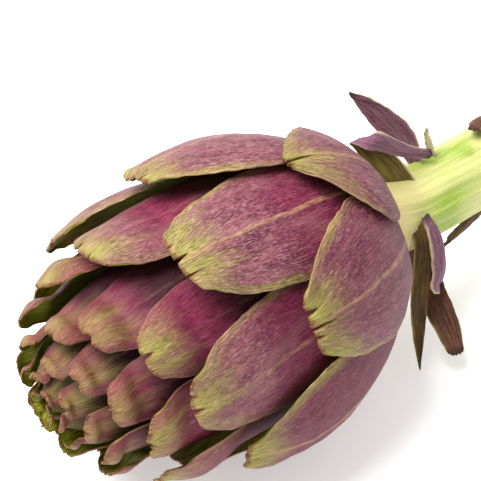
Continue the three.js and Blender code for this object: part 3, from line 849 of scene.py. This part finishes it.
def stem_skin():
    """Ribbed pale green skin, and the pith at the cut end. The facts across and along are the cosine and the
    sine of the turn round the stem, and along_mm runs away from the head."""
    shade = Shade("stem_skin")
    side, up, along = shade.fact("across"), shade.fact("along"), shade.fact("along_mm")

    def ring_noise(times_round, along_scale, detail):
        """Noise with so many features round the stem, and none broken where it closes."""
        radius = times_round / (2 * math.pi)
        x, y = shade.times(side, radius), shade.times(up, radius)
        return shade.noise(x, y, shade.times(along, along_scale), detail)

    wide, patch = ring_noise(5.0, 0.035, 2.0), ring_noise(8.0, 0.07, 3.0)
    lines, threads = ring_noise(30.0, 0.03, 3.0), ring_noise(110.0, 0.09, 2.0)
    fuzz = ring_noise(230.0, 2.6, 2.0)
    color = shade.mix(shade.ramp(wide, 0.38, 0.64), srgb(198, 198, 122), srgb(142, 168, 38))
    color = shade.mix(shade.ramp(lines, 0.42, 0.7, 0.0, 0.16), color, srgb(146, 172, 50))
    color = shade.mix(shade.ramp(threads, 0.5, 0.7, 0.0, 0.25), color, srgb(226, 228, 190))
    color = shade.mix(shade.ramp(patch, 0.56, 0.74, 0.0, 0.4), color, srgb(124, 154, 30))
    color = shade.mix(shade.ramp(along, 2.0, 22.0, 0.85, 0.0), color, srgb(214, 196, 134))
    color = shade.mix(shade.ramp(fuzz, 0.56, 0.7, 0.0, 0.25), color, srgb(246, 244, 226))
    cut = shade.fact("inner")
    pith = shade.mix(shade.ramp(shade.fact("edge_mm"), 0.8, 3.4), srgb(150, 160, 84), srgb(222, 220, 178))
    pith = shade.mix(shade.ramp(shade.grain(1.1, 1.0, 3.0), 0.45, 0.65, 0.0, 0.5), pith, srgb(168, 146, 96))
    color = shade.mix(cut, color, pith)
    height = shade.times_plus(threads, 0.7, shade.times(fuzz, 0.3))
    height = shade.plus(shade.times(lines, 1.6), height)
    normal = shade.bump(height, 0.5, 0.0008)
    return shade.finish(color, shade.ramp(patch, 0.3, 0.7, 0.42, 0.6), normal)


# ---- pieces ----------------------------------------------------------

# Steps along and across a leaf. The bracts below FINER_BELOW are the large ones.
FINER_BELOW = 22
LARGE_STEPS, SMALL_STEPS, BUD_STEPS, STEM_LEAF_STEPS = (64, 40), (48, 28), (26, 16), (44, 20)
STEM_LEAF_TIP_POWER = 1.15
BUD_GRID = 4  # the bud's bracts are baked in a square of this many by this many places


def add_bract(parts, number, steps, place=WHOLE_SQUARE):
    u, v = np.meshgrid(along_lines(steps[0]), across_lines(number, steps[1]), indexing="ij")
    add_leaf(parts, *bract_surface(bract_plan(number), u, v), place=place)


def make_piece(parts, node, material):
    """Makes the fine piece that stands for a node of the frame."""
    piece = parts.finish(f"{node}_fine", material)
    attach(piece, "root")
    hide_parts(node)


def make_bract(number, material):
    parts = MeshParts()
    add_bract(parts, number, LARGE_STEPS if number < FINER_BELOW else SMALL_STEPS)
    make_piece(parts, f"bract_{number:02d}", material)


def make_bud(material):
    """The youngest bracts go on with the spiral inside the last separate one, in one piece."""
    parts = MeshParts()
    for index, number in enumerate(range(BRACT_COUNT, BUD_COUNT)):
        left, bottom = (index % BUD_GRID) / BUD_GRID, (index // BUD_GRID) / BUD_GRID
        add_bract(parts, number, BUD_STEPS, (left, bottom, 1 / BUD_GRID, 1 / BUD_GRID))
    make_piece(parts, "inner_bud", material)


def make_stem_leaf(index, leaf, material):
    parts = MeshParts()
    steps_along, steps_across = STEM_LEAF_STEPS
    lines_u, lines_v = along_lines(steps_along, STEM_LEAF_TIP_POWER), np.linspace(-1, 1, steps_across + 1)
    add_leaf(parts, *stem_leaf_surface(leaf, index, lines_u, lines_v), green=leaf["green"])
    make_piece(parts, leaf["name"], material)


STEM_SIDES = 132
STEM_LINES, HEAD_LINES = 90, 24
STEM_RIBS, RIB_HEIGHT = 11, 0.28
STEM_RIDGES, RIDGE_HEIGHT = 29, 0.12
STEM_TWIST = 0.004  # how far the ribs turn for each millimetre along
STEM_TOP = 21  # how far the stem's head reaches into the artichoke's
STEM_INSET = 0.35  # the skin starts this much inside the frame's, and its ribs rise from there
STEM_STATIONS = [
    [-STEM_LENGTH, STEM_RADIUS - 0.5], [-STEM_LENGTH * 0.6, STEM_RADIUS - 0.3], [-14, STEM_RADIUS],
    [-6, STEM_RADIUS + 0.7], [0, STEM_RADIUS + 1.7],
    [3.7, 15.2], [8.7, 16.6], [14, 14.4], [18, 10.3], [STEM_TOP, 4.8],
]
CUT_INSET, TOP_RISE = 0.9, 0.5  # how far past the skin's last rings the two ends lie
CUT_HOLLOW = 0.7
DISC_SHARES = (0.97, 0.9, 0.78, 0.62, 0.45, 0.28, 0.12)
DISC_BORDER = 0.95  # rings wider than this share are level
STEM_NUMBER, DISC_NUMBER = 90, 91

# Where the stem's skin and its two ends lie in the bake square.
SKIN_LEFT, SKIN_WIDTH, SKIN_BOTTOM, SKIN_HEIGHT = 0.02, 0.96, 0.02, 0.72
CUT_SPOT, TOP_SPOT, DISC_SPOT_RADIUS = (0.25, 0.87), (0.75, 0.87), 0.1


def make_stem(material):
    parts = MeshParts()
    stations = np.array(STEM_STATIONS)
    along = np.concatenate(
        [np.linspace(-STEM_LENGTH + CUT_INSET, -2, STEM_LINES), np.linspace(-1, STEM_TOP, HEAD_LINES)]
    )
    radius = np.interp(along, stations[:, 0], stations[:, 1])
    turn = np.arange(STEM_SIDES) / STEM_SIDES
    s, w = np.meshgrid(along, turn, indexing="ij")
    r = np.broadcast_to(radius[:, None], s.shape)
    visible = smoothstep(-s, -2, 6)
    twist = 2 * math.pi * w + STEM_TWIST * s
    ribs = RIB_HEIGHT * np.cos(STEM_RIBS * twist + 0.6 * np.sin(3 * twist))
    ribs = ribs + RIDGE_HEIGHT * np.cos(STEM_RIDGES * twist)
    lean = 0.35 * np.cos(twist - 0.8) + 0.25 * np.sin(2 * twist + 0.04 * s)
    r = r - STEM_INSET * visible + visible * (ribs + lean + 0.12 * np.sin(0.21 * s + 4 * twist))
    angle = 2 * math.pi * w
    facts = dict(across=np.cos(angle), along=np.sin(angle), along_mm=-s, edge_mm=5, number=STEM_NUMBER)
    x = SKIN_LEFT + SKIN_WIDTH * w
    y = SKIN_BOTTOM + SKIN_HEIGHT * (s - s.min()) / (s.max() - s.min())
    first = parts.add_points(on_head(s, r, angle), np.stack([x, y], -1), **facts)
    rows, columns = s.shape
    grid = first + np.arange(rows * columns).reshape(rows, columns)
    for i in range(rows - 1):
        for j in range(columns):
            k = (j + 1) % columns
            low, high = y[i, 0], y[i + 1, 0]
            left, right = SKIN_LEFT + SKIN_WIDTH * j / columns, SKIN_LEFT + SKIN_WIDTH * (j + 1) / columns
            parts.add_face(
                (grid[i, j], grid[i, k], grid[i + 1, k], grid[i + 1, j]),
                [(left, low), (right, low), (right, high), (left, high)],
            )
    add_disc(parts, grid[0], angle[0], s[0, 0] - CUT_INSET, r[0], CUT_SPOT, cut=True)
    add_disc(parts, grid[-1], angle[-1], s[-1, 0] + TOP_RISE, r[-1], TOP_SPOT, cut=False)
    make_piece(parts, "stem", material)


def add_disc(parts, border, turn, along, radii, middle, cut):
    """Closes a stem end with rings from its border to a point. A cut end is rough and slightly hollow."""
    count = len(border)

    def spot(share):
        x, y = np.cos(turn), np.sin(turn)
        return np.stack(
            [middle[0] + DISC_SPOT_RADIUS * share * x, middle[1] + DISC_SPOT_RADIUS * share * y], -1
        )

    def add(points, spots):
        parts.add_face(points if cut else points[::-1], spots if cut else spots[::-1])

    previous, previous_share = border, 1.0
    for share in DISC_SHARES:
        rough = 0.16 * np.sin(9 * turn + 17 * share) + 0.12 * np.sin(23 * turn - 31 * share) if cut else 0
        hollow = CUT_HOLLOW * (1 - share) if cut else 0
        ring = on_head(along + hollow + rough * (share < DISC_BORDER), radii * share, turn)
        first = parts.add_points(
            ring, spot(share), inner=float(cut), edge_mm=radii * (1 - share), number=DISC_NUMBER,
            across_mm=radii * share * np.cos(turn), along_mm=radii * share * np.sin(turn),
        )
        now = first + np.arange(count)
        outside, inside = spot(previous_share), spot(share)
        for k in range(count):
            m = (k + 1) % count
            add((previous[k], now[k], now[m], previous[m]), [outside[k], inside[k], inside[m], outside[m]])
        previous, previous_share = now, share
    centre = on_head(along + CUT_HOLLOW * cut, 0 * turn[:1], turn[:1])
    tip = parts.add_points(centre, [middle], inner=float(cut), edge_mm=STEM_RADIUS - 0.5, number=DISC_NUMBER)
    inside = spot(previous_share)
    for k in range(count):
        m = (k + 1) % count
        add((previous[k], tip, previous[m]), [inside[k], np.array(middle), inside[m]])


# ---- floor, light and camera -----------------------------------------

FLOOR_HALF = 4.0
FLOOR_COLOR, FLOOR_GLOW = (0.92, 0.92, 0.92, 1), 0.36
FLOOR_ROUGHNESS = 0.9
WHITE = (1, 1, 1, 1)
SKY_STRENGTH = 0.62
KEY_PLACE, KEY_SIZE, KEY_POWER = (-0.42, 0.26, 1.1), 0.9, 26
LIGHT_TARGET = (0.0, 0.0, 0.045)
CAMERA_PLACE = (-0.28403, -0.35379, 0.51884)
CAMERA_TILT, CAMERA_TURN = math.radians(45), math.radians(-38.5)
CAMERA_LENS, CAMERA_SENSOR, CAMERA_CLIP = 167.5, 36, (0.02, 20)


def make_floor():
    mesh = bpy.data.meshes.new("floor")
    corners = [(x * FLOOR_HALF, y * FLOOR_HALF, 0) for x, y in ((-1, -1), (1, -1), (1, 1), (-1, 1))]
    mesh.from_pydata(corners, [], [(0, 1, 2, 3)])
    floor = bpy.data.objects.new("floor", mesh)
    bpy.context.scene.collection.objects.link(floor)
    material = bpy.data.materials.new("floor_white")
    material.use_nodes = True
    surface = material.node_tree.nodes["Principled BSDF"]
    surface.inputs["Base Color"].default_value = FLOOR_COLOR
    surface.inputs["Roughness"].default_value = FLOOR_ROUGHNESS
    surface.inputs["Emission Color"].default_value = WHITE
    surface.inputs["Emission Strength"].default_value = FLOOR_GLOW
    mesh.materials.append(material)


def make_sky():
    world = bpy.data.worlds.new("sky")
    world.use_nodes = True
    background = world.node_tree.nodes["Background"]
    background.inputs["Color"].default_value = WHITE
    background.inputs["Strength"].default_value = SKY_STRENGTH
    bpy.context.scene.world = world


def make_camera():
    data = bpy.data.cameras.new("camera")
    data.sensor_width = CAMERA_SENSOR
    data.lens = CAMERA_LENS
    data.clip_start, data.clip_end = CAMERA_CLIP
    camera = bpy.data.objects.new("camera", data)
    camera.location = CAMERA_PLACE
    camera.rotation_euler = (CAMERA_TILT, 0, CAMERA_TURN)
    bpy.context.scene.collection.objects.link(camera)
    bpy.context.scene.camera = camera


def make_key_light():
    light = bpy.data.lights.new("key", "AREA")
    light.shape, light.size, light.energy = "DISK", KEY_SIZE, KEY_POWER
    lamp = bpy.data.objects.new("key", light)
    lamp.location = KEY_PLACE
    lamp.rotation_euler = (Vector(LIGHT_TARGET) - Vector(KEY_PLACE)).to_track_quat("-Z", "Y").to_euler()
    bpy.context.scene.collection.objects.link(lamp)


# ---- the scene -------------------------------------------------------

skins = {
    "bract": bract_skin(),
    "stem": stem_skin(),
    "stem_leaf": leaf_skin(
        "stem_leaf_skin", srgb(142, 94, 116), srgb(96, 56, 76), srgb(126, 110, 34), srgb(78, 60, 24),
        srgb(204, 182, 146), srgb(56, 44, 44),
    ),
    "withered_leaf": leaf_skin(
        "withered_leaf_skin", srgb(128, 84, 66), srgb(76, 46, 40), srgb(104, 84, 30), srgb(64, 44, 24),
        srgb(168, 146, 56), srgb(70, 46, 36),
    ),
    "pale_leaf": leaf_skin(
        "pale_leaf_skin", srgb(226, 216, 172), srgb(200, 190, 136), srgb(226, 216, 172), srgb(200, 190, 136),
        srgb(214, 206, 150), srgb(190, 176, 120),
    ),
}

for bract_number in range(BRACT_COUNT):
    make_bract(bract_number, skins["bract"])
make_bud(skins["bract"])
make_stem(skins["stem"])
for leaf_index, stem_leaf in enumerate(STEM_LEAVES):
    make_stem_leaf(leaf_index, stem_leaf, skins[stem_leaf["skin"]])
make_floor()
make_sky()
make_camera()
make_key_light()
bpy.context.scene.view_settings.view_transform = "Standard"
